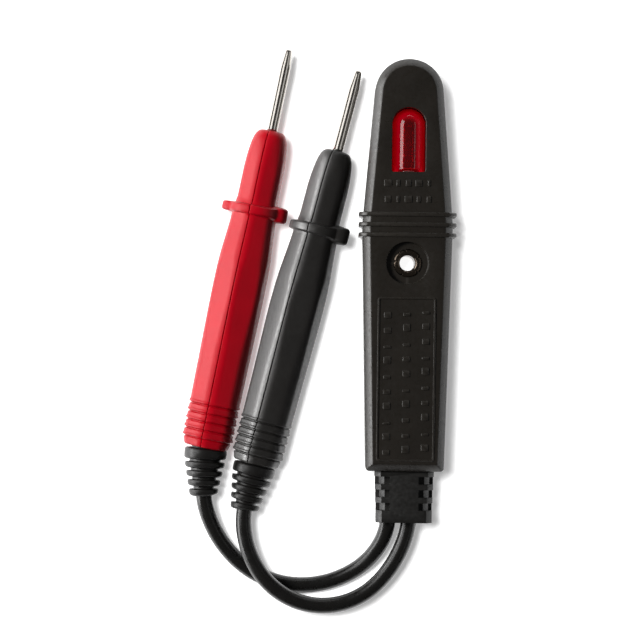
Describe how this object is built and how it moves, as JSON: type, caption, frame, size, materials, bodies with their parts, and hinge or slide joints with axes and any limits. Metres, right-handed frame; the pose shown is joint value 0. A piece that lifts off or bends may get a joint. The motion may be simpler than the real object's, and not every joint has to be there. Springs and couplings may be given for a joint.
{
  "type": "two-probe neon voltage tester",
  "caption": "Flat black neon voltage tester with a red lamp lens and hanging eyelet, wired by two flexible leads to a red and a black hand-held test probe.",
  "frame": {"origin": "on the axis of the hanging hole, at the back resting plane", "axes": "+X to the right and +Y towards the domed top as seen from the front, +Z along the hanging hole out of the front face"},
  "size_m": [0.0611, 0.1275, 0.0143],
  "materials": {
    "housing_plastic": "satin moulded black",
    "grip_plastic": "satin moulded black",
    "red_plastic": "semi-gloss moulded red",
    "red_lens": "clear red",
    "lamp_glass": "clear glass",
    "lamp_wire": "drawn wire",
    "sleeve_plastic": "soft sleeving",
    "resistor_lacquer": "lacquered",
    "tinned_brass": "plain",
    "dark_eyelet": "dark gunmetal plate",
    "soft_black": "soft moulded PVC, satin",
    "cable_pvc": "PVC jacket, satin",
    "copper": "bare stranded copper drawn as one core",
    "nickel_pin": "polished nickel"
  },
  "bodies": {
    "housing": {"front_shell": "housing_plastic", "rear_shell": "housing_plastic", "lamp_lens": "red_lens", "neon_glass": "lamp_glass", "neon_electrodes": "lamp_wire", "wire_sleeves": "sleeve_plastic", "resistor_body": "resistor_lacquer", "resistor_wires": "lamp_wire", "splice_crimps": "tinned_brass", "eyelet": "dark_eyelet", "strain_relief": "soft_black", "red_lead_tail_jacket": "cable_pvc", "red_lead_tail_core": "copper", "black_lead_tail_jacket": "cable_pvc", "black_lead_tail_core": "copper", "red_lead_a_jacket": "cable_pvc", "red_lead_a_core": "copper"},
    "red_lead_2": {"red_lead_b_jacket": "cable_pvc", "red_lead_b_core": "copper"},
    "red_lead_3": {"red_lead_c_jacket": "cable_pvc", "red_lead_c_core": "copper"},
    "red_lead_4": {"red_lead_d_jacket": "cable_pvc", "red_lead_d_core": "copper"},
    "red_probe": {"red_probe_jacket": "cable_pvc", "red_probe_core": "copper", "red_boot": "soft_black", "red_handle_left": "red_plastic", "red_handle_right": "red_plastic", "red_pin": "nickel_pin", "red_ferrule": "tinned_brass"},
    "black_lead_1": {"black_lead_a_jacket": "cable_pvc", "black_lead_a_core": "copper"},
    "black_lead_2": {"black_lead_b_jacket": "cable_pvc", "black_lead_b_core": "copper"},
    "black_lead_3": {"black_lead_c_jacket": "cable_pvc", "black_lead_c_core": "copper"},
    "black_lead_4": {"black_lead_d_jacket": "cable_pvc", "black_lead_d_core": "copper"},
    "black_probe": {"black_probe_jacket": "cable_pvc", "black_probe_core": "copper", "black_boot": "soft_black", "black_handle_left": "grip_plastic", "black_handle_right": "grip_plastic", "black_pin": "nickel_pin", "black_ferrule": "tinned_brass"}
  },
  "joints": [
    {"name": "red_lead_open", "type": "hinge", "parent": "housing", "child": "red_lead_2", "pos_m": [-0.01022, -0.06937, 0.0028], "axis": [0, 0, 1], "range_deg": [0, 30]},
    {"name": "red_lead_open_2", "type": "hinge", "parent": "red_lead_2", "child": "red_lead_3", "pos_m": [-0.02459, -0.07336, 0.00205], "axis": [0, 0, 1], "range_deg": [0, 30]},
    {"name": "red_probe_lift", "type": "hinge", "parent": "red_lead_3", "child": "red_lead_4", "pos_m": [-0.03863, -0.06671, 0.0027], "axis": [0.9761, -0.2173, 0], "range_deg": [0, 25]},
    {"name": "red_probe_lift_2", "type": "hinge", "parent": "red_lead_4", "child": "red_probe", "pos_m": [-0.04529, -0.05308, 0.0063], "axis": [0.9761, -0.2173, 0], "range_deg": [0, 25]},
    {"name": "black_lead_swing", "type": "hinge", "parent": "housing", "child": "black_lead_1", "pos_m": [0.00125, -0.0587, 0.007], "axis": [0, 1, 0], "range_deg": [0, 14]},
    {"name": "black_lead_swing_2", "type": "hinge", "parent": "black_lead_1", "child": "black_lead_2", "pos_m": [-0.00582, -0.07246, 0.0069], "axis": [0, 1, 0], "range_deg": [0, 14]},
    {"name": "black_lead_swing_3", "type": "hinge", "parent": "black_lead_2", "child": "black_lead_3", "pos_m": [-0.02004, -0.07748, 0.00675], "axis": [0, 1, 0], "range_deg": [-28, 0]},
    {"name": "black_probe_lift", "type": "hinge", "parent": "black_lead_3", "child": "black_lead_4", "pos_m": [-0.03238, -0.07014, 0.00675], "axis": [0.9761, -0.2173, 0], "range_deg": [0, 25]},
    {"name": "black_probe_lift_2", "type": "hinge", "parent": "black_lead_4", "child": "black_probe", "pos_m": [-0.03611, -0.05633, 0.0063], "axis": [0.9761, -0.2173, 0], "range_deg": [0, 25]}
  ],
  "couplings": [
    {"joint": "red_lead_open_2", "follows": "red_lead_open", "ratio": 1},
    {"joint": "red_probe_lift_2", "follows": "red_probe_lift", "ratio": 1},
    {"joint": "black_lead_swing_2", "follows": "black_lead_swing", "ratio": 1},
    {"joint": "black_lead_swing_3", "follows": "black_lead_swing", "ratio": -2},
    {"joint": "black_probe_lift_2", "follows": "black_probe_lift", "ratio": 1}
  ]
}
